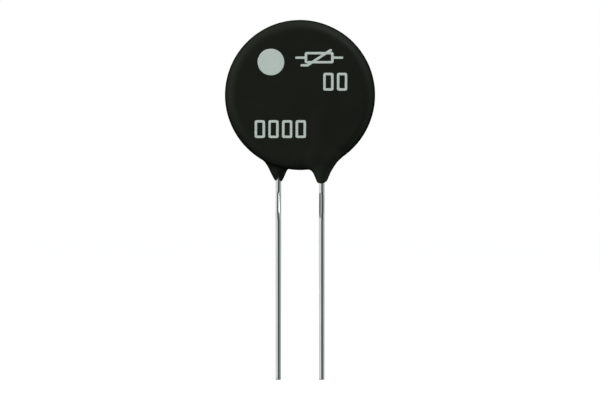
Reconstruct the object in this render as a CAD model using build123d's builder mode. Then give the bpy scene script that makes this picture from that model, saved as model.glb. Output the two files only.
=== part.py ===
from build123d import *
from math import atan2, degrees, sqrt
import os

# Disc thermistor with two wire leads, in millimetres.
# The origin is midway between the lead tips. The leads stand up along +Z, the disc faces -Y,
# the right lead is soldered to the front face of the ceramic and the left lead to the rear face.

# Leads
lead_pitch = 7.5
wire_diameter = 1.0
disc_height = 49.2
lead_top_drop = 1.5
wire_stub = 0.1
jog_reach = 3.9
jog_length = 4.0
upper_bend_radius = 1.5
lower_bend_radius = 4.0
tip_chamfer = 0.08

# Ceramic disc, silver and solder
ceramic_diameter = 24.0
ceramic_thickness = 2.6
ceramic_edge_chamfer = 0.3
silver_margin = 1.0
silver_thickness = 0.03
solder_film = 0.06
solder_radius = 1.15
solder_taper = 2.6
solder_edge_gap = 1.6

# Dipped coat
rim_wall = 1.0
face_wall = 1.4
rim_corner_radius = 1.9
rim_belly_radius = 4.6

# Collars of coat that run down the leads
ridge_height = 0.22
ridge_half_width = 1.9
ridge_end_half_width = 0.8
ridge_lead_in = 1.0
ridge_sink = 0.1
shoulder_half_width = 2.4
shoulder_inset = 1.4
shoulder_length = 3.0
collar_depth = 0.4
collar_run_down = 2.35
collar_flare = 1.2
collar_cover = 0.4
tip_cover = 0.11
collar_blend = 0.4
collar_end_round = 0.2
# Where the sections of the taper lie, as shares of its length
taper_sections = (0.03, 0.4, 0.72, 1.0)

# Notched end of the left collar, measured below the edge of the disc
fang_reach = 1.75
notch_reach = 1.1
fang_half_spacing = 0.5
fang_half_width = 0.6

# Print on the front face, placed from the centre of the disc
ink_thickness = 0.03
ink_stroke = 0.45
dot_diameter = 4.6
dot_place = (-5.0, 5.6)
symbol_place = (3.3, 6.36)
symbol_length = 8.3
symbol_height = 3.1
symbol_body_length = 5.0
symbol_body_height = 2.0
symbol_slant_run = 4.0
symbol_foot = 1.0
box_width = 1.8
box_height = 3.1
box_pitch = 2.35
value_boxes_place = (6.07, 2.2)
value_box_count = 2
code_boxes_place = (-3.38, -5.95)
code_box_count = 4

# Sizes that follow from those above
wire_radius = wire_diameter / 2
ceramic_radius = ceramic_diameter / 2
ceramic_face = ceramic_thickness / 2
silver_face = ceramic_face + silver_thickness
wire_depth = silver_face + solder_film + wire_radius
coat_radius = ceramic_radius + rim_wall
coat_face = ceramic_face + face_wall
solder_top_drop = lead_top_drop + wire_stub
solder_end_drop = ceramic_radius - solder_edge_gap
solder_middle_drop = (solder_top_drop + solder_end_drop) / 2
jog_drop = coat_radius + jog_reach

# The rim is a wide belly arc that runs into a tighter corner arc at each face, all tangent
belly_centre = coat_radius - rim_belly_radius
corner_height = coat_face - rim_corner_radius
flat_radius = belly_centre + sqrt((rim_belly_radius - rim_corner_radius) ** 2 - corner_height**2)
belly_tilt = degrees(atan2(corner_height, flat_radius - belly_centre))

# Plane of the disc: its local x is the part's X, its local y is Z, and it looks to the front
disc_plane = Plane(origin=(0, 0, disc_height), x_dir=(1, 0, 0), z_dir=(0, -1, 0))
front, rear = 1, -1
FACES = (("front", front), ("rear", rear))
# Each lead with its side along X and the face that it is soldered to
LEADS = (("right", 1, front), ("left", -1, rear))

os.makedirs("parts", exist_ok=True)

with BuildPart() as ceramic_disc:
    with BuildSketch(disc_plane):
        Circle(ceramic_radius)
    extrude(amount=ceramic_face, both=True)
    chamfer(ceramic_disc.edges().filter_by(GeomType.CIRCLE), ceramic_edge_chamfer)

ceramic_disc.part.label = "ceramic_disc"
export_step(ceramic_disc.part, "parts/ceramic_disc.step")
inner_pieces = [ceramic_disc.part]

# A silver layer on each face stops short of the edge of the ceramic
for name, face in FACES:
    with BuildPart() as electrode:
        with BuildSketch(disc_plane.offset(face * ceramic_face)):
            Circle(ceramic_radius - silver_margin)
        extrude(amount=face * silver_thickness)
    electrode.part.label = f"{name}_electrode"
    export_step(electrode.part, f"parts/{name}_electrode.step")
    inner_pieces.append(electrode.part)

# Each wire rises from its tip, jogs out to its face of the ceramic and runs up that face
lead_parts = {}
for name, side, face in LEADS:
    x = side * lead_pitch / 2
    y = -face * wire_depth
    with BuildPart() as lead:
        with BuildLine():
            FilletPolyline(
                (x, 0, 0),
                (x, 0, disc_height - jog_drop - jog_length),
                (x, y, disc_height - jog_drop),
                (x, y, disc_height - lead_top_drop),
                radius=[lower_bend_radius, upper_bend_radius],
            )
        with BuildSketch(Plane((x, 0, 0))):
            Circle(wire_radius)
        sweep()
        chamfer(lead.edges().group_by(Axis.Z)[0], tip_chamfer)
    lead.part.label = f"{name}_lead"
    export_step(lead.part, f"parts/{name}_lead.step")
    lead_parts[name] = lead.part
    inner_pieces.append(lead.part)

# Solder wets the silver in a long low mound round the top of the wire, tapered at both ends
for name, side, face in LEADS:
    x = side * lead_pitch / 2
    mound_plane = disc_plane.offset(face * silver_face)
    with BuildPart() as solder:
        with BuildSketch(mound_plane):
            with BuildLine():
                Polyline(
                    (x, -solder_top_drop),
                    (x + solder_radius, -solder_top_drop - solder_taper),
                    (x + solder_radius, -solder_end_drop + solder_taper),
                    (x, -solder_end_drop),
                    close=True,
                )
            make_face()
        revolve(axis=Axis((x, mound_plane.origin.Y, 0), (0, 0, 1)))
        split(bisect_by=mound_plane, keep=Keep.TOP if face == front else Keep.BOTTOM)
        add(lead_parts[name], mode=Mode.SUBTRACT)
    face_name = "front" if face == front else "rear"
    solder.part.label = f"{face_name}_solder"
    export_step(solder.part, f"parts/{face_name}_solder.step")
    inner_pieces.append(solder.part)


def collar_stations():
    """Sections of a collar from its top end down to its tip on the wire, each as
    (drop below the disc centre, half width, inner depth, outer depth),
    with the depths measured from the mid-plane of the disc."""
    crest = coat_face + ridge_height
    stations = [
        (lead_top_drop - ridge_lead_in, ridge_end_half_width, collar_depth, coat_face - ridge_sink),
        (lead_top_drop + ridge_lead_in, ridge_half_width, collar_depth, crest),
        (solder_middle_drop, ridge_half_width, collar_depth, crest),
        (coat_radius - shoulder_inset - shoulder_length, shoulder_half_width, collar_depth, crest),
    ]
    tip_half_width = wire_radius + tip_cover
    taper_length = shoulder_inset + collar_run_down
    # The flanks fall in a shallow hollow curve from the shoulder to the tip
    for along in taper_sections:
        left_over = 1 - along
        half_width = tip_half_width + (shoulder_half_width - tip_half_width) * left_over**collar_flare
        cover = tip_cover + (collar_cover - tip_cover) * left_over
        inner = max(wire_depth - half_width, collar_depth)
        drop = coat_radius - shoulder_inset + taper_length * along
        stations.append((drop, half_width, inner, wire_depth + wire_radius + cover))
    return stations


with BuildPart() as coating:
    # The dipped disc: flat faces and a rim that rolls over the edge of the ceramic
    with BuildSketch(Plane.XY.offset(disc_height)):
        with BuildLine():
            Line((0, -coat_face), (0, coat_face))
            rear_line = Line((0, coat_face), (flat_radius, coat_face))
            front_line = Line((0, -coat_face), (flat_radius, -coat_face))
            belly = CenterArc((belly_centre, 0), rim_belly_radius, -belly_tilt, 2 * belly_tilt)
            TangentArc(front_line @ 1, belly @ 0, tangent=front_line % 1)
            TangentArc(rear_line @ 1, belly @ 1, tangent=rear_line % 1)
        make_face()
    revolve(axis=Axis((0, 0, disc_height), (0, 1, 0)))

    # A collar over each lead, blended into the face and the rim
    for name, side, face in LEADS:
        for drop, half_width, inner, outer in collar_stations():
            middle = (side * lead_pitch / 2, -face * (inner + outer) / 2, disc_height - drop)
            with BuildSketch(Plane(origin=middle, x_dir=(0, face, 0), z_dir=(0, 0, 1))):
                Ellipse((outer - inner) / 2, half_width)
        loft()
        fillet(coating.edges(Select.NEW), collar_blend)

    # The right collar ends in a rounded tongue
    right_end = coating.faces().filter_by(Plane.XY).sort_by(Axis.X)[-1]
    fillet(right_end.edges(), collar_end_round)

    # The left collar ends in two points beside a notch that bares the wire
    fang_edge = fang_half_spacing + fang_half_width
    left_end_plane = Plane(
        origin=(-lead_pitch / 2, 0, disc_height - coat_radius), x_dir=(1, 0, 0), z_dir=(0, -1, 0)
    )
    with BuildSketch(left_end_plane):
        with BuildLine():
            Polyline(
                (-fang_edge, fang_half_width - fang_reach),
                (-fang_half_spacing, -fang_reach),
                (0, -notch_reach),
                (fang_half_spacing, -fang_reach),
                (fang_edge, fang_half_width - fang_reach),
                (fang_edge, -2 * collar_run_down),
                (-fang_edge, -2 * collar_run_down),
                close=True,
            )
        make_face()
    extrude(amount=2 * coat_face, both=True, mode=Mode.SUBTRACT)

    # The coat fills everything round the pieces that it seals
    add(inner_pieces, mode=Mode.SUBTRACT)

coating.part.label = "coating"
export_step(coating.part, "parts/coating.step")

ink_plane = disc_plane.offset(coat_face)

with BuildPart() as printed_dot:
    with BuildSketch(ink_plane):
        with Locations(dot_place):
            Circle(dot_diameter / 2)
    extrude(amount=ink_thickness)

printed_dot.part.label = "printed_dot"
export_step(printed_dot.part, "parts/printed_dot.step")

# Circuit symbol of a thermistor: a resistor body on a line, crossed by a slanted line with a foot
with BuildPart() as printed_symbol:
    with BuildSketch(ink_plane):
        with Locations(symbol_place):
            Rectangle(symbol_length, ink_stroke)
            Rectangle(symbol_body_length, symbol_body_height)
            Rectangle(
                symbol_body_length - 2 * ink_stroke,
                symbol_body_height - 2 * ink_stroke,
                mode=Mode.SUBTRACT,
            )
        middle_x, middle_z = symbol_place
        low = middle_z - (symbol_height - ink_stroke) / 2
        high = middle_z + (symbol_height - ink_stroke) / 2
        with BuildLine():
            Polyline(
                (middle_x - symbol_slant_run / 2 - symbol_foot, low),
                (middle_x - symbol_slant_run / 2, low),
                (middle_x + symbol_slant_run / 2, high),
            )
        trace(line_width=ink_stroke)
    extrude(amount=ink_thickness)

printed_symbol.part.label = "printed_symbol"
export_step(printed_symbol.part, "parts/printed_symbol.step")

# Rows of blank boxes where a value and a date code go
BOX_ROWS = (
    ("printed_value_boxes", value_boxes_place, value_box_count),
    ("printed_code_boxes", code_boxes_place, code_box_count),
)
for name, place, count in BOX_ROWS:
    with BuildPart() as boxes:
        with BuildSketch(ink_plane):
            with Locations(place):
                with GridLocations(box_pitch, 0, count, 1):
                    Rectangle(box_width, box_height)
                    Rectangle(
                        box_width - 2 * ink_stroke, box_height - 2 * ink_stroke, mode=Mode.SUBTRACT
                    )
        extrude(amount=ink_thickness)
    boxes.part.label = name
    export_step(boxes.part, f"parts/{name}.step")
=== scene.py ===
import math

import bpy
import numpy as np
from bpy.props import FloatProperty, FloatVectorProperty, IntProperty, PointerProperty
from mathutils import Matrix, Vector


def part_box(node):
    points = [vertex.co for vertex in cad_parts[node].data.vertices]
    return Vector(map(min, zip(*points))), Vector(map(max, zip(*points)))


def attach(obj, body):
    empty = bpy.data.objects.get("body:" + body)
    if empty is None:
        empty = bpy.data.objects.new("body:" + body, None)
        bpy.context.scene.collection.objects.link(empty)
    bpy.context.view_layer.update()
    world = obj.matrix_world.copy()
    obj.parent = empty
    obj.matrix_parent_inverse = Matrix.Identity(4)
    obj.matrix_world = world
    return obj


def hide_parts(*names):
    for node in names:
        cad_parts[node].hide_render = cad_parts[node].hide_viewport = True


# Looks of a dipped disc thermistor: the resin coat, the tinned leads, the print and the pieces sealed
# inside. Everything is in metres in the part's own frame: the leads stand up along +Z, and the printed face
# looks to -Y.

bl_info = {
    "name": "Disc Thermistor",
    "version": (1, 0, 0),
    "blender": (4, 5, 0),
    "location": "3D View > Sidebar > Thermistor",
    "description": "Builds the coat, leads, print and studio of a dipped disc thermistor",
    "category": "Object",
}

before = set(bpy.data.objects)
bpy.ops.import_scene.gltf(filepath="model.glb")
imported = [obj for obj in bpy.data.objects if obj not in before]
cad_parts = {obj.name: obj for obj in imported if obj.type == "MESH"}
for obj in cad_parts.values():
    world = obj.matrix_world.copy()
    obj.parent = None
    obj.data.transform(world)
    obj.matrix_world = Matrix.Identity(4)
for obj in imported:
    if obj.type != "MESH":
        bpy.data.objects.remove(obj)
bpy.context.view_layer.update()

mm = 0.001
um = 0.000001


def middle(node):
    """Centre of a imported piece."""
    low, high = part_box(node)
    return (low + high) / 2


def extent(node):
    """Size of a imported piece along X, Y and Z."""
    low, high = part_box(node)
    return high - low


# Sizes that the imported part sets
disc_centre = middle("ceramic_disc")
coat_radius = extent("coating").x / 2
coat_face = -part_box("printed_dot")[1].y
coat_depth = extent("coating").y / 2
coat_end_drop = disc_centre.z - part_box("coating")[0].z
wire_radius = extent("right_lead").x / 2
wire_depth = -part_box("right_lead")[0].y - wire_radius
lead_offset = middle("right_lead").x
lead_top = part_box("right_lead")[1].z
lead_top_drop = disc_centre.z - lead_top

# Each lead with its side along X and the face that it is soldered to, where 1 is the front
LEADS = (("right", 1, 1), ("left", -1, -1))

# Brightness of the studio round the part, by azimuth in degrees: 0 is in front of it and 90 to its right
STUDIO_RING = (
    (-180, 1.0),
    (-150, 0.78),
    (-100, 0.84),
    (-50, 0.80),
    (-26, 0.74),
    (-20, 0.10),
    (22, 0.09),
    (54, 0.22),
    (80, 0.50),
    (108, 0.62),
    (128, 0.42),
    (155, 0.50),
    (180, 1.0),
)

# The studio is dimmer below the horizon: its level there, and the heights at which it is dimmed and is full
STUDIO_BELOW = (0.3, -0.45, -0.1)

# Patches of the studio that are brighter or darker than what lies round them: each with its direction, its
# level, and the cosines of the angles from its middle at which it begins and is full
STUDIO_PATCHES = (
    ((0.50, -0.35, 0.80), 3.4, 0.89, 0.96),
    ((-0.80, 0.35, -0.48), 0.1, 0.885, 0.95),
    ((-0.25, -0.59, -0.77), 1.9, 0.88, 0.96),
    ((0.83, -0.14, -0.54), 4.0, 0.90, 0.97),
)

# Each lamp with its azimuth and its height over the horizon in degrees, and its power in watts
LAMPS = (("key_light", -52, 38, 10.0), ("fill_light", 58, 30, 2.0))

# Two pairs of long crossing waves in the set resin. Each pair has its share of the unevenness, and each
# wave its turns in radians for a metre along X, Y and Z and the angle at which it starts.
RESIN_WAVES = (
    (0.35, (310, 0, 140, 0.8), (-90, 200, 260, 2.1)),
    (0.15, (720, 0, -380, 1.9), (250, -300, 540, 0.4)),
)


class CoatSizes(bpy.types.PropertyGroup):
    """Form and colour of the dipped resin coat."""

    cell: FloatProperty(
        name="Mesh Cell", description="Size of the coat's mesh faces",
        default=0.16 * mm, unit="LENGTH", precision=5)
    corner_radius: FloatProperty(
        name="Corner Radius", description="Tight arc between the face and the rim",
        default=1.9 * mm, unit="LENGTH", precision=5)
    belly_radius: FloatProperty(
        name="Belly Radius", description="Wide arc round the middle of the rim",
        default=4.6 * mm, unit="LENGTH", precision=5)
    blend: FloatProperty(
        name="Collar Blend", description="How far a collar flows into the disc",
        default=0.7 * mm, unit="LENGTH", precision=5)
    right_inner_blend: FloatProperty(
        name="Right Inner Blend", description="How far the right collar's inner side flows into the disc",
        default=1.3 * mm, unit="LENGTH", precision=5)
    right_outer_blend: FloatProperty(
        name="Right Outer Blend", description="How far the right collar's outer side flows into the disc",
        default=2.0 * mm, unit="LENGTH", precision=5)
    left_outer_blend: FloatProperty(
        name="Left Outer Blend", description="How far the left collar's outer side flows into the disc",
        default=1.25 * mm, unit="LENGTH", precision=5)
    unevenness: FloatProperty(
        name="Unevenness", description="How far the set resin dips below its nominal surface",
        default=0.03 * mm, unit="LENGTH", precision=5)
    ridge_height: FloatProperty(
        name="Ridge Height", description="How far the coat over a buried wire stands above the face",
        default=0.06 * mm, unit="LENGTH", precision=5)
    ridge_half_width: FloatProperty(
        name="Ridge Half Width", description="Half width of the resin over a buried wire",
        default=1.9 * mm, unit="LENGTH", precision=5)
    shoulder_half_width: FloatProperty(
        name="Shoulder Half Width", description="Half width of a collar where it leaves the disc",
        default=2.45 * mm, unit="LENGTH", precision=5)
    tip_cover: FloatProperty(
        name="Tip Cover", description="Thickness of the resin over the wire at a collar's end",
        default=0.12 * mm, unit="LENGTH", precision=5)
    right_tip_half_width: FloatProperty(
        name="Right Tip Half Width", description="Half width of the right collar at its end",
        default=0.73 * mm, unit="LENGTH", precision=5)
    left_tip_half_width: FloatProperty(
        name="Left Tip Half Width", description="Half width of the left collar at its end",
        default=0.68 * mm, unit="LENGTH", precision=5)
    right_taper: FloatProperty(
        name="Right Taper",
        description="Half width that the right collar loses for each length that it drops",
        default=0.42, min=0, max=1, subtype="FACTOR")
    left_taper: FloatProperty(
        name="Left Taper",
        description="Half width that the left collar loses for each length that it drops",
        default=0.44, min=0, max=1, subtype="FACTOR")
    right_end: FloatProperty(
        name="Right End", description="Drop of the right collar's end below the disc's centre",
        default=15.34 * mm, unit="LENGTH", precision=5)
    left_end: FloatProperty(
        name="Left End", description="Drop of the left collar's two points below the disc's centre",
        default=14.96 * mm, unit="LENGTH", precision=5)
    notch_depth: FloatProperty(
        name="Notch Depth", description="Height of the notch between the left collar's two points",
        default=0.92 * mm, unit="LENGTH", precision=5)
    notch_half_width: FloatProperty(
        name="Notch Half Width", description="Distance of each point from the middle of the left wire",
        default=0.56 * mm, unit="LENGTH", precision=5)
    colour: FloatVectorProperty(
        name="Colour", description="Colour of the resin", subtype="COLOR",
        default=(0.0072, 0.0090, 0.0052), min=0, max=1)
    roughness: FloatProperty(
        name="Roughness", description="Roughness of the set resin",
        default=0.5, min=0, max=1, subtype="FACTOR")
    sheen: FloatProperty(
        name="Sheen", description="Strength of the resin's reflections seen straight on",
        default=0.22, min=0, max=1, subtype="FACTOR")


class LeadSizes(bpy.types.PropertyGroup):
    """Form and finish of the tinned wire leads."""

    jog_reach: FloatProperty(
        name="Jog Reach", description="Distance from the disc's edge down to the jog",
        default=3.9 * mm, unit="LENGTH", precision=5)
    jog_length: FloatProperty(
        name="Jog Length", description="Height over which the wire moves in to the middle plane",
        default=4.0 * mm, unit="LENGTH", precision=5)
    upper_bend: FloatProperty(
        name="Upper Bend Radius", description="Radius of the bend above the jog",
        default=1.5 * mm, unit="LENGTH", precision=5)
    lower_bend: FloatProperty(
        name="Lower Bend Radius", description="Radius of the bend below the jog",
        default=4.0 * mm, unit="LENGTH", precision=5)
    sides: IntProperty(
        name="Sides", description="Faces round the wire",
        default=72, min=12, subtype="UNSIGNED")
    ring_spacing: FloatProperty(
        name="Ring Spacing", description="Distance between the rings along the wire",
        default=0.25 * mm, unit="LENGTH", precision=5)
    tip_rounding: FloatProperty(
        name="Tip Rounding", description="Rounding of the sheared end",
        default=0.12 * mm, unit="LENGTH", precision=5)
    nick_height: FloatProperty(
        name="Nick Height", description="Height of the small nick in the right lead's outer side",
        default=15.3 * mm, unit="LENGTH", precision=5)
    nick_depth: FloatProperty(
        name="Nick Depth", description="Depth of the nick",
        default=0.12 * mm, unit="LENGTH", precision=5)
    nick_length: FloatProperty(
        name="Nick Length", description="Length of the nick along the wire",
        default=0.3 * mm, unit="LENGTH", precision=5)
    colour: FloatVectorProperty(
        name="Colour", description="Colour of the tin", subtype="COLOR",
        default=(0.80, 0.82, 0.81), min=0, max=1)
    roughness: FloatProperty(
        name="Roughness", description="Roughness of the tin",
        default=0.09, min=0, max=1, subtype="FACTOR")


class PrintSizes(bpy.types.PropertyGroup):
    """Form and colour of the print on the front face."""

    cell: FloatProperty(
        name="Mesh Cell", description="Size of the print's mesh faces",
        default=0.06 * mm, unit="LENGTH", precision=5)
    thickness: FloatProperty(
        name="Ink Thickness", description="Thickness of the dried ink",
        default=0.024 * mm, unit="LENGTH", precision=6)
    stroke: FloatProperty(
        name="Stroke", description="Width of the printed lines",
        default=0.45 * mm, unit="LENGTH", precision=5)
    body_length: FloatProperty(
        name="Symbol Body Length", description="Length of the resistor body in the circuit symbol",
        default=5.0 * mm, unit="LENGTH", precision=5)
    body_height: FloatProperty(
        name="Symbol Body Height", description="Height of the resistor body in the circuit symbol",
        default=2.0 * mm, unit="LENGTH", precision=5)
    slant_run: FloatProperty(
        name="Slant Run", description="How far the slanted line runs along X",
        default=4.0 * mm, unit="LENGTH", precision=5)
    foot: FloatProperty(
        name="Foot", description="Length of the slanted line's foot",
        default=1.0 * mm, unit="LENGTH", precision=5)
    box_width: FloatProperty(
        name="Box Width", description="Width of one blank box",
        default=1.8 * mm, unit="LENGTH", precision=5)
    box_pitch: FloatProperty(
        name="Box Pitch", description="Distance between the middles of two boxes in a row",
        default=2.35 * mm, unit="LENGTH", precision=5)
    colour: FloatVectorProperty(
        name="Colour", description="Colour of the ink", subtype="COLOR",
        default=(0.50, 0.55, 0.515), min=0, max=1)


class StudioSizes(bpy.types.PropertyGroup):
    """Camera, floor and light."""

    camera_distance: FloatProperty(
        name="Camera Distance", description="Distance of the camera from the part",
        default=0.6, unit="LENGTH")
    view_width: FloatProperty(
        name="View Width", description="Width of the picture at the part",
        default=103.7 * mm, unit="LENGTH", precision=4)
    disc_above_middle: FloatProperty(
        name="Disc Above Middle", description="Height of the disc's centre above the middle of the picture",
        default=18.14 * mm, unit="LENGTH", precision=5)
    lamp_distance: FloatProperty(
        name="Lamp Distance", description="Distance of the lamps from the disc",
        default=0.9, unit="LENGTH")
    lamp_size: FloatProperty(
        name="Lamp Size", description="Width of the square lamps",
        default=0.9, unit="LENGTH")
    floor_radius: FloatProperty(
        name="Floor Radius", description="Half size of the floor", default=2.0, unit="LENGTH")
    strip_lean: FloatProperty(
        name="Strip Lean", description="How far the dark strip in front leans over with height",
        default=math.radians(56.5), subtype="ANGLE")
    strip_curve: FloatProperty(
        name="Strip Curve", description="How much more the strip leans above the horizon than below it",
        default=math.radians(22.8), subtype="ANGLE")
    light_colour: FloatVectorProperty(
        name="Light Colour", description="Colour of the studio light", subtype="COLOR",
        default=(0.955, 1.0, 0.98), min=0, max=1)


def nearest_blend(a, b, reach):
    """Smaller of two distances, rounded where they meet."""
    share = np.clip(0.5 + 0.5 * (b - a) / reach, 0, 1)
    return b + (a - b) * share - reach * share * (1 - share)


def farthest_blend(a, b, reach):
    """Larger of two distances, rounded where they meet."""
    return -nearest_blend(-a, -b, reach)


def ease(value, start, end):
    """Rises smoothly from 0 at start to 1 at end."""
    share = np.clip((value - start) / (end - start), 0, 1)
    return share * share * (3 - 2 * share)


class CoatForm:
    """The coat as a field of distances, in metres from the centre of the disc. A drop is how far something
    lies below that centre."""

    # The ridge over a buried wire rises out of the face between these drops, from this share of its width
    # and this far below its crest
    ridge_start = lead_top_drop - 1.4 * mm
    ridge_full = lead_top_drop + 2.6 * mm
    ridge_start_share = 0.4
    ridge_start_sink = 1.0 * mm

    # It widens to the shoulder between these drops, and the shoulder rounds over into the taper
    shoulder_start = 7 * mm
    shoulder_full = 11 * mm
    taper_blend = 0.8 * mm
    least_half_width = 0.2 * mm

    # The cover over the wire grows by this share of the height above the collar's end, up to the crest
    cover_growth = 0.1
    crest_blend = 0.4 * mm

    # How near a collar comes to the middle plane
    collar_floor = 0.4 * mm
    floor_blend = 0.4 * mm

    # Rounding of a collar's top and end
    top_blend = 0.4 * mm
    end_blend = 0.1 * mm

    # The right collar's tongue is a parabola a little beside the wire's middle, and the left end is slanted
    tongue_curve = 0.45 / mm
    tongue_shift = 0.12 * mm
    end_slant = 0.12

    # A collar's sides flow further into the disc below these drops, and this far from the wire
    side_start = 8.5 * mm
    side_full = 11 * mm
    side_run = 2 * mm

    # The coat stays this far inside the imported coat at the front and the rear
    depth_clearance = 0.05 * mm
    depth_blend = 0.2 * mm

    # Room for the collars' crests in front of the face and behind it
    crest_room = 0.3 * mm

    def __init__(self, sizes):
        self.sizes = sizes
        self.belly_centre = coat_radius - sizes.belly_radius
        self.corner_height = coat_face - sizes.corner_radius
        reach = sizes.belly_radius - sizes.corner_radius
        self.flat_radius = self.belly_centre + math.sqrt(reach**2 - self.corner_height**2)

    def disc(self, x, y, z):
        """Flat faces, a tight arc at each edge and a wide arc round the rim."""
        out = np.hypot(x, z)
        depth = np.abs(y)
        face = depth - coat_face
        corner = np.hypot(out - self.flat_radius, depth - self.corner_height) - self.sizes.corner_radius
        belly = np.hypot(out - self.belly_centre, depth) - self.sizes.belly_radius
        along_corner = self.flat_radius - self.belly_centre
        in_belly = depth * along_corner < self.corner_height * (out - self.belly_centre)
        return np.where(in_belly, belly, np.where(out < self.flat_radius, face, corner))

    def collar(self, x, y, z, side, face):
        """Resin over one wire: a low ridge on the face, then a taper that runs down the wire."""
        sizes = self.sizes
        right = side > 0
        taper = sizes.right_taper if right else sizes.left_taper
        tip = sizes.right_tip_half_width if right else sizes.left_tip_half_width
        end = sizes.right_end if right else sizes.left_end
        drop = -z
        across = x - side * lead_offset
        outward = -face * y
        rise = ease(drop, self.ridge_start, self.ridge_full)
        widening = ease(drop, self.shoulder_start, self.shoulder_full)
        shoulder = sizes.ridge_half_width + (sizes.shoulder_half_width - sizes.ridge_half_width) * widening
        shoulder = shoulder * (self.ridge_start_share + (1 - self.ridge_start_share) * rise)
        tapering = tip + taper * (end - drop)
        half_width = nearest_blend(shoulder, tapering, self.taper_blend)
        half_width = np.maximum(half_width, self.least_half_width)
        crest = coat_face + sizes.ridge_height - self.ridge_start_sink * (1 - rise)
        thinning = wire_depth + wire_radius + sizes.tip_cover + self.cover_growth * (end - drop)
        outer = nearest_blend(crest, thinning, self.crest_blend)
        inner = farthest_blend(wire_depth - half_width, self.collar_floor, self.floor_blend)
        half_depth = (outer - inner) / 2
        off_centre = outward - (outer + inner) / 2
        # The distance from an ellipse, right near its edge
        scaled = np.hypot(across / half_width, off_centre / half_depth)
        steepness = np.hypot(across / half_width**2, off_centre / half_depth**2)
        section = scaled * (scaled - 1) / np.maximum(steepness, 1.0)
        section = farthest_blend(section, self.ridge_start - drop, self.top_blend)
        return farthest_blend(section, self.collar_end(across, drop, right), self.end_blend)

    def collar_end(self, across, drop, right):
        """Distance past a collar's end: a rounded tongue on the right, two points and a notch on the
        left."""
        sizes = self.sizes
        if right:
            rise = self.tongue_curve * (across + self.tongue_shift) ** 2
            return drop - (sizes.right_end - rise)
        off_point = np.abs(np.abs(across) - sizes.notch_half_width)
        slope = sizes.notch_depth / sizes.notch_half_width
        end = sizes.left_end + self.end_slant * across - slope * off_point
        return (drop - end) / math.hypot(1, slope)

    def waves(self, x, y, z):
        """Long soft waves between 0 and 1 that set resin has."""
        level = 0.5
        for share, *pair in RESIN_WAVES:
            height = share
            for along_x, along_y, along_z, start in pair:
                height = height * np.sin(along_x * x + along_y * y + along_z * z + start)
            level = level + height
        return level

    def reach(self, x, z, side):
        """How far a collar flows into the disc: further at its sides, near the disc's lower edge."""
        sizes = self.sizes
        right = side > 0
        outer = sizes.right_outer_blend if right else sizes.left_outer_blend
        inner = sizes.right_inner_blend if right else sizes.blend
        beyond = side * x - lead_offset
        more = (outer - sizes.blend) * ease(beyond, 0, self.side_run)
        more = more + (inner - sizes.blend) * ease(-beyond, 0, self.side_run)
        return sizes.blend + more * ease(-z, self.side_start, self.side_full)

    def distance(self, x, y, z):
        """Distance from the coat's surface, negative inside."""
        found = self.disc(x, y, z)
        for _, side, face in LEADS:
            found = nearest_blend(found, self.collar(x, y, z, side, face), self.reach(x, z, side))
        past_depth = np.abs(y) - (coat_depth - self.depth_clearance)
        found = farthest_blend(found, past_depth, self.depth_blend)
        return found + self.sizes.unevenness * self.waves(x, y, z)

    def slope(self, points):
        """Direction and rate in which the distance grows at each point."""
        step = 2 * um
        columns = []
        for axis in range(3):
            ahead, behind = points.copy(), points.copy()
            ahead[:, axis] += step
            behind[:, axis] -= step
            columns.append((self.distance(*ahead.T) - self.distance(*behind.T)) / (2 * step))
        return np.stack(columns, axis=1)

    def settle(self, points, rounds=3):
        """Moves points onto the coat's surface, never by more than half a cell at a time."""
        limit = self.sizes.cell / 2
        least_steepness = 0.05
        for _ in range(rounds):
            slope = self.slope(points)
            step = self.distance(*points.T) / np.maximum((slope**2).sum(axis=1), least_steepness)
            points = points - np.clip(step[:, None] * slope, -limit, limit)
        return points

    def front(self, x, z, rounds=8):
        """Where the front surface lies along Y."""
        y = np.full_like(x, -coat_face)
        for _ in range(rounds):
            y = y + self.distance(x, y, z)
        return y


def skin(field, low, high, cells):
    """Closed mesh of the surface on which the field is zero, as its points and its four-sided faces.
    Each grid cell that the surface cuts gets one point, and each cut grid edge gets one face."""
    low = np.array(low, float)
    step = (np.array(high, float) - low) / cells
    axes = [low[axis] + step[axis] * np.arange(cells[axis] + 1) for axis in range(3)]
    values = field(*np.meshgrid(*axes, indexing="ij"))
    total = np.zeros((3, *cells))
    count = np.zeros(cells, int)
    cuts = []
    for axis in range(3):
        first = np.take(values, range(cells[axis]), axis)
        second = np.take(values, range(1, cells[axis] + 1), axis)
        cut = (first < 0) != (second < 0)
        share = np.zeros_like(first)
        share[cut] = first[cut] / (first[cut] - second[cut])
        place = np.indices(first.shape).astype(float)
        place[axis] += share
        u, v = [other for other in range(3) if other != axis]
        for du in (0, 1):
            for dv in (0, 1):
                part = [slice(None)] * 3
                part[u] = slice(du, du + cells[u])
                part[v] = slice(dv, dv + cells[v])
                part = tuple(part)
                count += cut[part]
                for row in range(3):
                    total[row] += np.where(cut[part], place[row][part], 0)
        cuts.append((axis, u, v, cut, first < 0))
    number = np.full(cells, -1)
    used = count > 0
    number[used] = np.arange(used.sum())
    points = low + (total[:, used] / count[used]).T * step
    faces = []
    for axis, u, v, cut, starts_inside in cuts:
        inner = [slice(None)] * 3
        inner[u] = slice(1, cells[u])
        inner[v] = slice(1, cells[v])
        found = np.argwhere(cut[tuple(inner)])
        found[:, u] += 1
        found[:, v] += 1
        corners = []
        for du, dv in ((1, 1), (0, 1), (0, 0), (1, 0)):
            cell = found.copy()
            cell[:, u] -= du
            cell[:, v] -= dv
            corners.append(number[tuple(cell.T)])
        loop = np.stack(corners, axis=1)
        # Each face looks out of the solid. The other two axes turn the other way round the middle one.
        turned = starts_inside[tuple(found.T)] != (axis != 1)
        loop[turned] = loop[turned, ::-1]
        faces.append(loop)
    return points, np.concatenate(faces)


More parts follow.
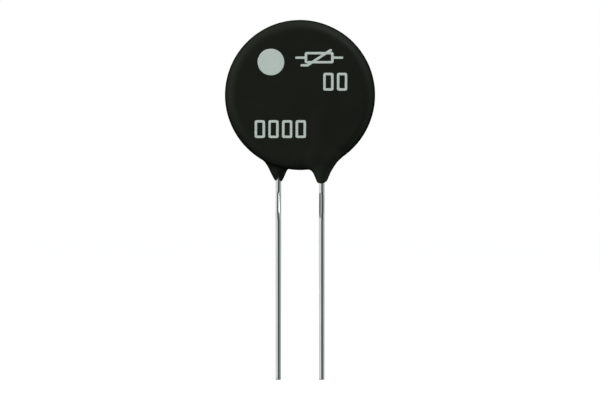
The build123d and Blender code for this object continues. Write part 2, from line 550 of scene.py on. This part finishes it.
def new_piece(name, points, faces, material, slot, *replaced, sharp_angle=None):
    """Object of one piece of the part, smooth shaded, on the part's body."""
    mesh = bpy.data.meshes.new(name)
    mesh.from_pydata(np.asarray(points).tolist(), [], [tuple(face) for face in faces])
    mesh.validate()
    mesh.shade_smooth()
    if sharp_angle is not None:
        mesh.set_sharp_from_angle(angle=sharp_angle)
    mesh.materials.append(material)
    piece = bpy.data.objects.new(name, mesh)
    bpy.context.scene.collection.objects.link(piece)
    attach(piece, "root")
    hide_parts(*replaced)
    return piece


class NodeTree:
    """A node tree, with short calls to add and join its nodes."""

    def __init__(self, tree):
        self.tree = tree

    def add(self, kind, **settings):
        """Adds a node. Settings name its own values, or its sockets with words joined by _."""
        node = self.tree.nodes.new("ShaderNode" + kind)
        for key, value in settings.items():
            if hasattr(node, key):
                setattr(node, key, value)
            else:
                node.inputs[key.replace("_", " ")].default_value = value
        return node

    def join(self, source, target):
        """Joins an output socket to an input socket."""
        self.tree.links.new(source, target)

    def calculate(self, operation, *values):
        """Result of a sum with numbers or sockets."""
        node = self.add("Math", operation=operation)
        for value, socket in zip(values, node.inputs):
            if isinstance(value, bpy.types.NodeSocket):
                self.join(value, socket)
            else:
                socket.default_value = value
        return node.outputs[0]

    def spread(self, value, low, high, start=0.3, end=0.7, blend="LINEAR"):
        """Maps a value that lies between start and end to one between low and high."""
        node = self.add(
            "MapRange", interpolation_type=blend, From_Min=start, From_Max=end, To_Min=low, To_Max=high)
        self.join(value, node.inputs["Value"])
        return node.outputs["Result"]

    def mix(self, share, first, second):
        """Colour between two colours or colour sockets."""
        node = self.add("Mix", data_type="RGBA")
        self.join(share, node.inputs["Factor"])
        colours = [socket for socket in node.inputs if socket.type == "RGBA"]
        for value, socket in zip((first, second), colours):
            if isinstance(value, bpy.types.NodeSocket):
                self.join(value, socket)
            else:
                socket.default_value = (*value, 1)
        return next(socket for socket in node.outputs if socket.type == "RGBA")

    def mix_shaders(self, share, first, second):
        """Shader between two shaders."""
        node = self.add("MixShader")
        for source, socket in zip((share, first, second), node.inputs):
            self.join(source, socket)
        return node.outputs[0]


class Finish(NodeTree):
    """The nodes of one material."""

    def __init__(self, name):
        self.material = bpy.data.materials.new(name)
        self.material.use_nodes = True
        super().__init__(self.material.node_tree)
        self.surface = self.tree.nodes["Principled BSDF"].inputs

    def place(self, stretch):
        """Place on the piece, scaled along X, Y and Z."""
        coordinates = self.add("TexCoord")
        mapping = self.add("Mapping", Scale=stretch)
        self.join(coordinates.outputs["Object"], mapping.inputs["Vector"])
        return mapping.outputs["Vector"]

    def noise(self, scale, detail=3.0, stretch=(1, 1, 1), rough=0.5):
        """Value of a noise with that many waves in a metre."""
        node = self.add("TexNoise", Scale=scale, Detail=detail, Roughness=rough)
        self.join(self.place(stretch), node.inputs["Vector"])
        return node.outputs["Fac"]

    def bump(self, value, height, before=None):
        """Relief of that height in metres."""
        node = self.add("Bump", Distance=height, Strength=1.0)
        self.join(value, node.inputs["Height"])
        if before is not None:
            self.join(before, node.inputs["Normal"])
        return node.outputs["Normal"]

    def paint(self, **inputs):
        """Joins sockets to the surface, or sets its values. Words are joined by _."""
        for key, value in inputs.items():
            socket = self.surface[key.replace("_", " ")]
            if isinstance(value, bpy.types.NodeSocket):
                self.join(value, socket)
            else:
                socket.default_value = value
        return self.material


def shade(colour, factor):
    """A colour times a factor."""
    return tuple(channel * factor for channel in colour)


def dipped_resin(sizes):
    """Satin black resin, a little uneven in gloss, with the faint orange peel of a dipped coat."""
    finish = Finish("dipped_resin")
    cloud = finish.spread(finish.noise(160, detail=4), 0, 1)
    haze = finish.noise(420, detail=5, rough=0.6)
    peel = finish.bump(finish.noise(900, detail=2), 6 * um)
    edge = finish.add("LayerWeight", Blend=0.5).outputs["Facing"]
    # The plain value under the link serves viewers that read no nodes
    finish.paint(Specular_IOR_Level=sizes.sheen)
    return finish.paint(
        Base_Color=finish.mix(cloud, shade(sizes.colour, 0.86), shade(sizes.colour, 1.16)),
        Roughness=finish.spread(haze, sizes.roughness - 0.05, sizes.roughness + 0.06),
        Specular_IOR_Level=finish.spread(
            edge, sizes.sheen, 0.0, start=0.1, end=0.65, blend="SMOOTHSTEP"),
        Normal=finish.bump(finish.noise(9000, detail=2), 0.8 * um, before=peel))


def tinned_wire(sizes):
    """Bright tin over copper wire, with fine lines along the draw and small dull patches."""
    finish = Finish("tinned_wire")
    patches = finish.spread(finish.noise(700, detail=4, stretch=(1, 1, 0.35)), 0, 1)
    dull = finish.noise(1500, detail=3, stretch=(1, 1, 0.2))
    lines = finish.noise(14000, detail=2, stretch=(1, 1, 0.012))
    return finish.paint(
        Metallic=1.0,
        Base_Color=finish.mix(patches, shade(sizes.colour, 0.94), shade(sizes.colour, 1.03)),
        Roughness=finish.spread(dull, sizes.roughness - 0.02, sizes.roughness + 0.05),
        Normal=finish.bump(lines, 0.5 * um))


def printed_ink(sizes):
    """Matt light grey ink, slightly mottled by the pad that laid it."""
    finish = Finish("printed_ink")
    mottle = finish.noise(2600, detail=5, rough=0.65)
    return finish.paint(
        Base_Color=finish.mix(
            finish.spread(mottle, 0, 1), shade(sizes.colour, 0.92), shade(sizes.colour, 1.05)),
        Roughness=finish.spread(mottle, 0.62, 0.5),
        Specular_IOR_Level=0.3,
        Normal=finish.bump(mottle, 2 * um))


def sintered_oxide():
    """Dark ceramic with fine grains and a few pores."""
    finish = Finish("sintered_oxide")
    grains = finish.add("TexVoronoi", Scale=16000.0)
    finish.join(finish.place((1, 1, 1)), grains.inputs["Vector"])
    pores = finish.noise(5200, detail=4)
    return finish.paint(
        Base_Color=finish.mix(grains.outputs["Distance"], (0.030, 0.027, 0.025), (0.075, 0.068, 0.060)),
        Roughness=finish.spread(pores, 0.55, 0.8),
        Normal=finish.bump(pores, 6 * um))


def fired_silver():
    """Matt silver with the weave of the screen that it was printed through."""
    finish = Finish("fired_silver")
    weave = finish.add("TexWave", Scale=1300.0, Distortion=1.2, Detail=2.0)
    finish.join(finish.place((1, 1, 1)), weave.inputs["Vector"])
    lines = weave.outputs["Fac"]
    return finish.paint(
        Metallic=1.0,
        Base_Color=finish.mix(lines, (0.70, 0.69, 0.66), (0.83, 0.82, 0.79)),
        Roughness=finish.spread(finish.noise(3000), 0.38, 0.55),
        Normal=finish.bump(lines, 3 * um))


def soft_solder():
    """Satin solder with the soft ripples of its last flow."""
    finish = Finish("soft_solder")
    ripples = finish.noise(1100)
    return finish.paint(
        Metallic=1.0,
        Base_Color=finish.mix(finish.spread(ripples, 0, 1), (0.52, 0.53, 0.54), (0.68, 0.69, 0.70)),
        Roughness=finish.spread(ripples, 0.24, 0.4),
        Normal=finish.bump(ripples, 14 * um))


def studio_floor():
    """White to the camera with the part's shadow on it, grey to the light that bounces off it, clear from
    below and to reflections, so that metal shows the studio behind it."""
    finish = Finish("studio_floor")
    rays = finish.add("LightPath").outputs
    underside = finish.add("NewGeometry").outputs["Backfacing"]
    glow = finish.add("Emission", Color=(1, 1, 1, 1), Strength=0.86)
    shadowed = finish.add("BsdfDiffuse", Color=(0.18, 0.18, 0.18, 1))
    lit = finish.add("AddShader")
    finish.join(glow.outputs[0], lit.inputs[0])
    finish.join(shadowed.outputs[0], lit.inputs[1])
    bounce = finish.add("BsdfDiffuse", Color=(0.2, 0.2, 0.2, 1))
    clear = finish.add("BsdfTransparent")
    seen = finish.mix_shaders(rays["Is Camera Ray"], bounce.outputs[0], lit.outputs[0])
    see_through = finish.calculate("MAXIMUM", underside, rays["Is Glossy Ray"])
    tree = finish.tree
    tree.nodes.remove(tree.nodes["Principled BSDF"])
    finish.join(
        finish.mix_shaders(see_through, seen, clear.outputs[0]),
        tree.nodes["Material Output"].inputs["Surface"])
    return finish.material


def studio_world(sizes):
    """White to the camera. Round the part it is a studio that is bright at the sides and behind and dimmer
    below, with a dark strip in front that leans over with height, and a few patches of another level."""
    world = bpy.data.worlds.new("studio")
    world.use_nodes = True
    tree = NodeTree(world.node_tree)
    direction = tree.add("TexCoord").outputs["Generated"]
    parts = tree.add("SeparateXYZ")
    tree.join(direction, parts.inputs["Vector"])
    x, y, z = parts.outputs
    azimuth = tree.calculate("ARCTAN2", x, tree.calculate("MULTIPLY", y, -1.0))
    lean = tree.calculate("MULTIPLY_ADD", z, sizes.strip_curve, sizes.strip_lean)
    leaning = tree.calculate("MULTIPLY_ADD", z, lean, azimuth)
    ring = tree.add("ValToRGB")
    tree.join(tree.spread(leaning, 0, 1, start=-math.pi, end=math.pi), ring.inputs["Fac"])
    ramp = ring.color_ramp
    while len(ramp.elements) < len(STUDIO_RING):
        ramp.elements.new(0.5)
    for element, (degrees, level) in zip(ramp.elements, STUDIO_RING):
        element.position = (degrees + 180) / 360
        element.color = (*shade(sizes.light_colour, level), 1)
    low_level, dimmed, undimmed = STUDIO_BELOW
    level = tree.spread(z, low_level, 1, start=dimmed, end=undimmed, blend="SMOOTHSTEP")
    for place, factor, begins, full in STUDIO_PATCHES:
        toward = tree.add("VectorMath", operation="DOT_PRODUCT")
        tree.join(direction, toward.inputs[0])
        toward.inputs[1].default_value = Vector(place).normalized()
        patch = tree.spread(
            toward.outputs["Value"], 1, factor, start=begins, end=full, blend="SMOOTHSTEP")
        level = tree.calculate("MULTIPLY", level, patch)
    rays = tree.add("LightPath").outputs
    seen = tree.calculate("MAXIMUM", rays["Is Camera Ray"], rays["Is Transmission Ray"])
    background = tree.tree.nodes["Background"].inputs
    tree.join(tree.mix(seen, ring.outputs["Color"], (1, 1, 1)), background["Color"])
    tree.join(tree.calculate("MAXIMUM", level, seen), background["Strength"])
    return world


def round_path(corners, radii, spacing):
    """Points along straight runs joined by tangent arcs, in the plane of Y and Z, with their directions."""
    arc_spacing = spacing / 3
    points, directions = [], []
    start = corners[0]
    for before, corner, after, radius in zip(corners, corners[1:], corners[2:], radii):
        run_in = (corner - before).normalized()
        run_out = (after - corner).normalized()
        turn = math.atan2(run_in.x * run_out.y - run_in.y * run_out.x, run_in.dot(run_out))
        cut = radius * math.tan(abs(turn) / 2)
        arc_start = corner - run_in * cut
        count = max(2, math.ceil((arc_start - start).length / spacing))
        for share in np.arange(count) / count:
            points.append(start.lerp(arc_start, share))
            directions.append(run_in)
        sideways = Vector((-run_in.y, run_in.x)) * math.copysign(1, turn)
        centre = arc_start + sideways * radius
        steps = math.ceil(abs(turn) * radius / arc_spacing)
        for step in range(steps):
            angle = turn * step / steps
            cosine, sine = math.cos(angle), math.sin(angle)
            direction = Vector((run_in.x * cosine - run_in.y * sine, run_in.x * sine + run_in.y * cosine))
            outwards = Vector((direction.y, -direction.x)) * math.copysign(1, turn)
            points.append(centre + outwards * radius)
            directions.append(direction)
        start = corner + run_out * cut
    run = (corners[-1] - start).normalized()
    count = max(2, math.ceil((corners[-1] - start).length / spacing))
    for share in np.arange(count + 1) / count:
        points.append(start.lerp(corners[-1], share))
        directions.append(run)
    return points, directions


def lead_tube(sizes, side, face):
    """Points and faces of one wire, from its sheared tip up to its buried end."""
    jog_top = disc_centre.z - coat_radius - sizes.jog_reach
    y = -face * wire_depth
    corners = [
        Vector((0, 0)),
        Vector((0, jog_top - sizes.jog_length)),
        Vector((y, jog_top)),
        Vector((y, lead_top)),
    ]
    path, directions = round_path(corners, (sizes.lower_bend, sizes.upper_bend), sizes.ring_spacing)
    tip_steps = 6
    nick_focus = 6
    rings = []
    for step in range(tip_steps):
        angle = math.pi / 2 * step / tip_steps
        rise = sizes.tip_rounding * (1 - math.cos(angle))
        shrink = sizes.tip_rounding * (1 - math.sin(angle))
        rings.append((Vector((0, rise)), directions[0], wire_radius - shrink))
    rings += [
        (point, direction, wire_radius)
        for point, direction in zip(path, directions) if point.y > sizes.tip_rounding
    ]
    turns = np.arange(sizes.sides) * 2 * math.pi / sizes.sides
    points = []
    for point, direction, radius in rings:
        radii = np.full(sizes.sides, radius)
        if side > 0:
            along = (point.y - sizes.nick_height) / (sizes.nick_length / 2)
            facing = np.maximum(-np.cos(turns), 0) ** nick_focus
            radii = radii - sizes.nick_depth * math.exp(-(along**2)) * facing
        across = Vector((direction.y, -direction.x))
        for turn, ring_radius in zip(turns, radii):
            sideways = ring_radius * math.cos(turn)
            outwards = across * (ring_radius * math.sin(turn))
            points.append((side * lead_offset + sideways, point.x + outwards.x, point.y + outwards.y))
    faces = []
    around = sizes.sides
    for ring in range(len(rings) - 1):
        for turn in range(around):
            after = (turn + 1) % around
            faces.append((
                ring * around + turn, ring * around + after,
                (ring + 1) * around + after, (ring + 1) * around + turn))
    faces.append(tuple(range(around - 1, -1, -1)))
    faces.append(tuple(range((len(rings) - 1) * around, len(rings) * around)))
    return points, faces


def box_frame(across, up, half_width, half_height, stroke):
    """Distance from the outline of a box drawn with a stroke, with slightly rounded corners."""
    corner_radius = 0.3 * stroke
    u = np.abs(across) - (half_width - stroke / 2 - corner_radius)
    v = np.abs(up) - (half_height - stroke / 2 - corner_radius)
    outside = np.hypot(np.maximum(u, 0), np.maximum(v, 0))
    return np.abs(outside + np.minimum(np.maximum(u, v), 0) - corner_radius) - stroke / 2


def line_stroke(across, up, start, end, stroke):
    """Distance from a straight line drawn with a stroke."""
    run = (end[0] - start[0], end[1] - start[1])
    length_squared = run[0] ** 2 + run[1] ** 2
    share = ((across - start[0]) * run[0] + (up - start[1]) * run[1]) / length_squared
    share = np.clip(share, 0, 1)
    return np.hypot(across - start[0] - share * run[0], up - start[1] - share * run[1]) - stroke / 2


def dot_shape(across, up, size, sizes):
    """A round dot."""
    return np.hypot(across, up) - size.x / 2


def symbol_shape(across, up, size, sizes):
    """Circuit symbol of a thermistor: a resistor body on a line, crossed by a slanted line with a foot."""
    stroke = sizes.stroke
    half_length = size.x / 2 - stroke / 2
    rise = size.z / 2 - stroke / 2
    body_end = sizes.body_length / 2 - stroke / 2
    slant = sizes.slant_run / 2
    found = box_frame(across, up, sizes.body_length / 2, sizes.body_height / 2, stroke)
    lines = (
        ((-half_length, 0), (-body_end, 0)),
        ((body_end, 0), (half_length, 0)),
        ((-slant, -rise), (slant, rise)),
        ((-slant - sizes.foot, -rise), (-slant, -rise)),
    )
    for start, end in lines:
        found = np.minimum(found, line_stroke(across, up, start, end, stroke))
    return found


def boxes_shape(across, up, size, sizes):
    """A row of blank boxes."""
    count = max(1, round((size.x - sizes.box_width) / sizes.box_pitch) + 1)
    pitch = (size.x - sizes.box_width) / max(1, count - 1)
    found = np.full_like(across, np.inf)
    for index in range(count):
        centre = (index - (count - 1) / 2) * pitch
        one = box_frame(across - centre, up, sizes.box_width / 2, size.z / 2, sizes.stroke)
        found = np.minimum(found, one)
    return found


def ink_layer(node, shape, sizes, coat):
    """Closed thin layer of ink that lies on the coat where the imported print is, a little sunk into it."""
    centre, size = middle(node), extent(node)
    margin = 3 * sizes.cell
    half_x, half_z = size.x / 2 + margin, size.z / 2 + margin
    thick = sizes.thickness
    edge_blend = 0.5 * thick
    middle_above_coat = 0.38 * thick
    cells_through = 6

    def field(across, level, up):
        return farthest_blend(shape(across, up, size, sizes), np.abs(level) - thick / 2, edge_blend)

    cells = [math.ceil(2 * half_x / sizes.cell), cells_through, math.ceil(2 * half_z / sizes.cell)]
    points, faces = skin(field, (-half_x, -thick, -half_z), (half_x, thick, half_z), cells)
    x = points[:, 0] + centre.x
    z = points[:, 2] + centre.z
    y = coat.front(x, z - disc_centre.z) + points[:, 1] - middle_above_coat
    return np.stack((x, y, z), axis=1), faces


class THERMISTOR_OT_studio(bpy.types.Operator):
    """Makes the camera, the floor and the light"""

    bl_idname = "thermistor.studio"
    bl_label = "Studio"

    def execute(self, context):
        sizes = context.scene.thermistor_studio
        context.scene.world = studio_world(sizes)
        context.scene.view_settings.view_transform = "Standard"
        self.camera(context, sizes)
        self.floor(context, sizes)
        for name, azimuth, height, power in LAMPS:
            self.lamp(context, sizes, name, math.radians(azimuth), math.radians(height), power)
        return {"FINISHED"}

    def camera(self, context, sizes):
        """Level camera in front of the part."""
        data = bpy.data.cameras.new("camera")
        data.sensor_width = 36.0
        data.lens = data.sensor_width * sizes.camera_distance / sizes.view_width
        data.clip_start = 0.01
        data.clip_end = 50.0
        camera = bpy.data.objects.new("camera", data)
        height = disc_centre.z - sizes.disc_above_middle
        camera.location = (disc_centre.x, -sizes.camera_distance, height)
        camera.rotation_euler = (math.pi / 2, 0, 0)
        context.scene.collection.objects.link(camera)
        context.scene.camera = camera

    def floor(self, context, sizes):
        """Floor under the lead tips."""
        half = sizes.floor_radius
        corners = [(-half, -half, 0), (half, -half, 0), (half, half, 0), (-half, half, 0)]
        mesh = bpy.data.meshes.new("floor")
        mesh.from_pydata(corners, [], [(0, 1, 2, 3)])
        mesh.materials.append(studio_floor())
        floor = bpy.data.objects.new("floor", mesh)
        context.scene.collection.objects.link(floor)

    def lamp(self, context, sizes, name, azimuth, height, power):
        """Soft square lamp that looks at the disc, kept out of the reflections in the wires."""
        data = bpy.data.lights.new(name, "AREA")
        data.shape = "SQUARE"
        data.size = sizes.lamp_size
        data.energy = power
        data.color = sizes.light_colour
        lamp = bpy.data.objects.new(name, data)
        away = Vector((
            math.sin(azimuth) * math.cos(height), -math.cos(azimuth) * math.cos(height), math.sin(height)))
        lamp.location = disc_centre + away * sizes.lamp_distance
        lamp.rotation_euler = away.to_track_quat("Z", "Y").to_euler()
        lamp.visible_glossy = False
        context.scene.collection.objects.link(lamp)


class THERMISTOR_OT_coat(bpy.types.Operator):
    """Makes the dipped resin coat with its collars"""

    bl_idname = "thermistor.coat"
    bl_label = "Coat"

    def execute(self, context):
        sizes = context.scene.thermistor_coat
        form = CoatForm(sizes)
        margin = 3 * sizes.cell
        depth = coat_face + form.crest_room + margin
        low = (-coat_radius - margin, -depth, -coat_end_drop - margin)
        high = (coat_radius + margin, depth, coat_radius + margin)
        cells = [math.ceil((b - a) / sizes.cell) for a, b in zip(low, high)]
        points, faces = skin(form.distance, low, high, cells)
        points = form.settle(points) + np.array(disc_centre)
        new_piece("resin_coat", points, faces, dipped_resin(sizes), "coat_resin", "coating")
        return {"FINISHED"}


class THERMISTOR_OT_leads(bpy.types.Operator):
    """Makes the two tinned wire leads"""

    bl_idname = "thermistor.leads"
    bl_label = "Leads"

    def execute(self, context):
        sizes = context.scene.thermistor_leads
        material = tinned_wire(sizes)
        for name, side, face in LEADS:
            points, faces = lead_tube(sizes, side, face)
            new_piece(
                f"{name}_wire", points, faces, material, "tinned_wire", f"{name}_lead",
                sharp_angle=math.radians(50))
        return {"FINISHED"}


class THERMISTOR_OT_ink(bpy.types.Operator):
    """Lays the print on the front face"""

    bl_idname = "thermistor.ink"
    bl_label = "Print"

    def execute(self, context):
        sizes = context.scene.thermistor_print
        coat = CoatForm(context.scene.thermistor_coat)
        material = printed_ink(sizes)
        prints = (
            ("ink_dot", "printed_dot", dot_shape),
            ("ink_symbol", "printed_symbol", symbol_shape),
            ("ink_value_boxes", "printed_value_boxes", boxes_shape),
            ("ink_code_boxes", "printed_code_boxes", boxes_shape),
        )
        for name, node, shape in prints:
            points, faces = ink_layer(node, shape, sizes, coat)
            new_piece(name, points, faces, material, "print_ink", node)
        return {"FINISHED"}


class THERMISTOR_OT_sealed_pieces(bpy.types.Operator):
    """Finishes the ceramic, the silver and the solder inside the coat"""

    bl_idname = "thermistor.sealed_pieces"
    bl_label = "Sealed Pieces"

    def execute(self, context):
        finishes = (
            (("ceramic_disc",), sintered_oxide()),
            (("front_electrode", "rear_electrode"), fired_silver()),
            (("front_solder", "rear_solder"), soft_solder()),
        )
        for names, material in finishes:
            for name in names:
                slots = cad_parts[name].data.materials
                slots.clear()
                slots.append(material)
        return {"FINISHED"}


class THERMISTOR_PT_panel(bpy.types.Panel):
    """Sizes and steps of the thermistor"""

    bl_idname = "THERMISTOR_PT_panel"
    bl_label = "Disc Thermistor"
    bl_space_type = "VIEW_3D"
    bl_region_type = "UI"
    bl_category = "Thermistor"

    def draw(self, context):
        for operator, group in STEPS:
            box = self.layout.box()
            box.operator(operator.bl_idname)
            if group:
                sizes = getattr(context.scene, group)
                for name in sizes.bl_rna.properties.keys():
                    if name not in ("rna_type", "name"):
                        box.prop(sizes, name)


# Each step with the sizes that it reads, in the order in which the part is made
STEPS = (
    (THERMISTOR_OT_studio, "thermistor_studio"),
    (THERMISTOR_OT_coat, "thermistor_coat"),
    (THERMISTOR_OT_leads, "thermistor_leads"),
    (THERMISTOR_OT_ink, "thermistor_print"),
    (THERMISTOR_OT_sealed_pieces, None),
)
GROUPS = {
    "thermistor_coat": CoatSizes,
    "thermistor_leads": LeadSizes,
    "thermistor_print": PrintSizes,
    "thermistor_studio": StudioSizes,
}
CLASSES = (*GROUPS.values(), *(operator for operator, _ in STEPS), THERMISTOR_PT_panel)


def register():
    for item in CLASSES:
        bpy.utils.register_class(item)
    for name, group in GROUPS.items():
        setattr(bpy.types.Scene, name, PointerProperty(type=group))


def unregister():
    for name in GROUPS:
        delattr(bpy.types.Scene, name)
    for item in reversed(CLASSES):
        bpy.utils.unregister_class(item)


def main():
    """Makes the whole part."""
    register()
    for operator, _ in STEPS:
        group, name = operator.bl_idname.split(".")
        getattr(getattr(bpy.ops, group), name)()


if __name__ == "__main__":
    main()
